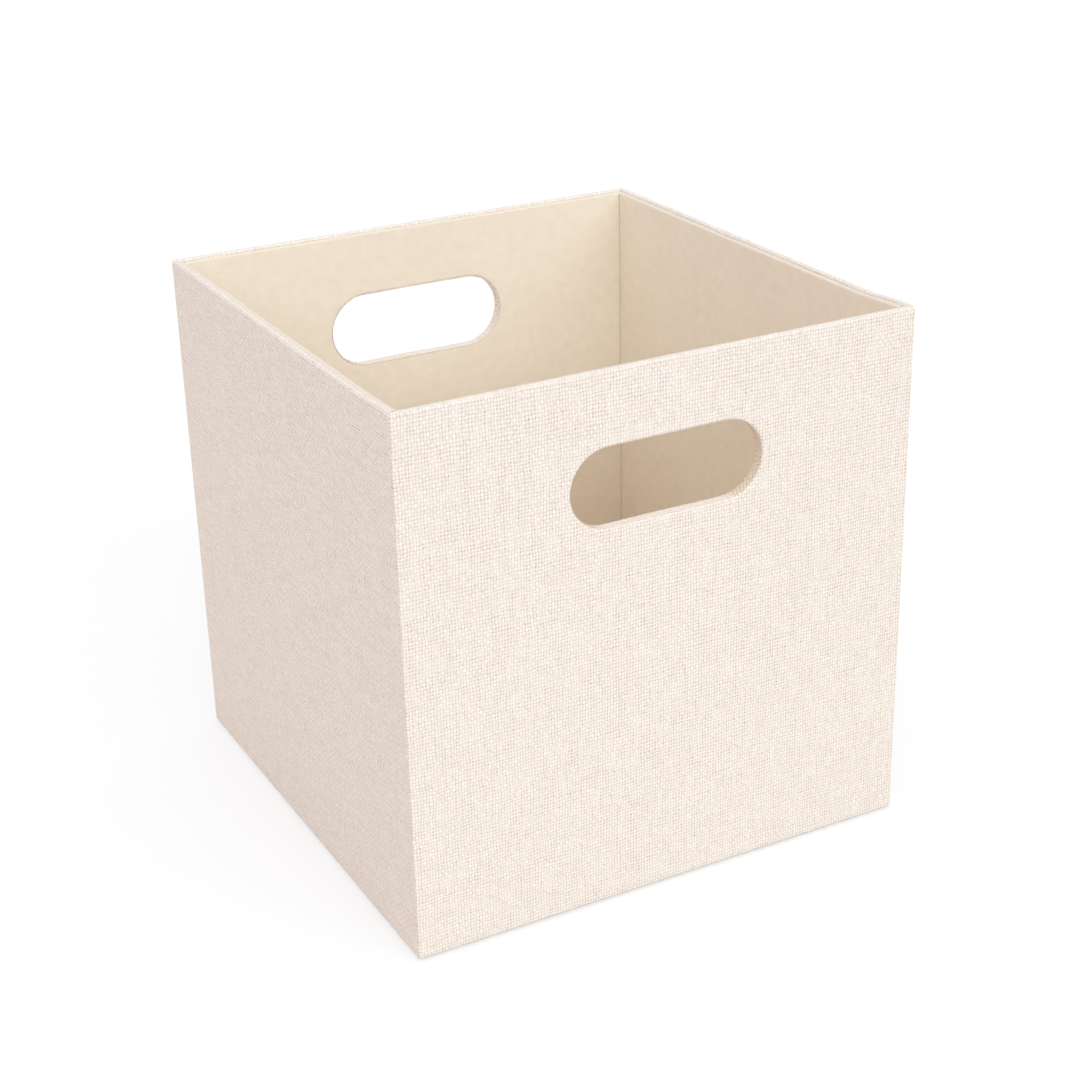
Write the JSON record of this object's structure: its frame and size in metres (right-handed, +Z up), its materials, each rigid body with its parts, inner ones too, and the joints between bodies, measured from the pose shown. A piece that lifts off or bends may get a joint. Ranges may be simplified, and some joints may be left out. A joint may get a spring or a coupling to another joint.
{
  "type": "fabric storage bin",
  "caption": "Open-topped cube bin of stiff boards in a glued woven cover, with an oval hand hole through the front and back walls, lined inner panels and a loose lift-out base insert.",
  "frame": {"origin": "centre of the underside, on the surface that the bin stands on", "axes": "+Z up, +Y from the front wall to the back wall, +X to the right as seen from the front. The hand holes are in the walls at -Y and +Y"},
  "size_m": [0.254, 0.254, 0.254],
  "materials": {
    "woven_cover": "cream linen-look plain weave of slubby yarn, 1.4 by 1.7 mm a thread, matt",
    "lining": "beige non-woven with a fine emboss, matt",
    "greyboard": "plain greyboard, matt",
    "panel_card": "plain card, matt",
    "stay_paper": "gummed kraft paper, matt"
  },
  "bodies": {
    "bin": {"front_board": "greyboard", "right_board": "greyboard", "back_board": "greyboard", "left_board": "greyboard", "base_board": "greyboard", "corner_stay_front_right": "stay_paper", "corner_stay_back_right": "stay_paper", "corner_stay_back_left": "stay_paper", "corner_stay_front_left": "stay_paper", "base_stay_front": "stay_paper", "base_stay_right": "stay_paper", "base_stay_back": "stay_paper", "base_stay_left": "stay_paper", "front_cover": "woven_cover", "right_cover": "woven_cover", "back_cover": "woven_cover", "left_cover": "woven_cover", "underside_sheet": "lining", "front_panel_board": "panel_card", "right_panel_board": "panel_card", "back_panel_board": "panel_card", "left_panel_board": "panel_card", "front_lining": "lining", "right_lining": "lining", "back_lining": "lining", "left_lining": "lining"},
    "base_insert": {"insert_board": "panel_card", "insert_lining": "lining"}
  },
  "joints": [
    {"name": "insert_lift", "type": "slide", "parent": "bin", "child": "base_insert", "axis": [0, 0, 1], "range_m": [0, 0.262]}
  ]
}
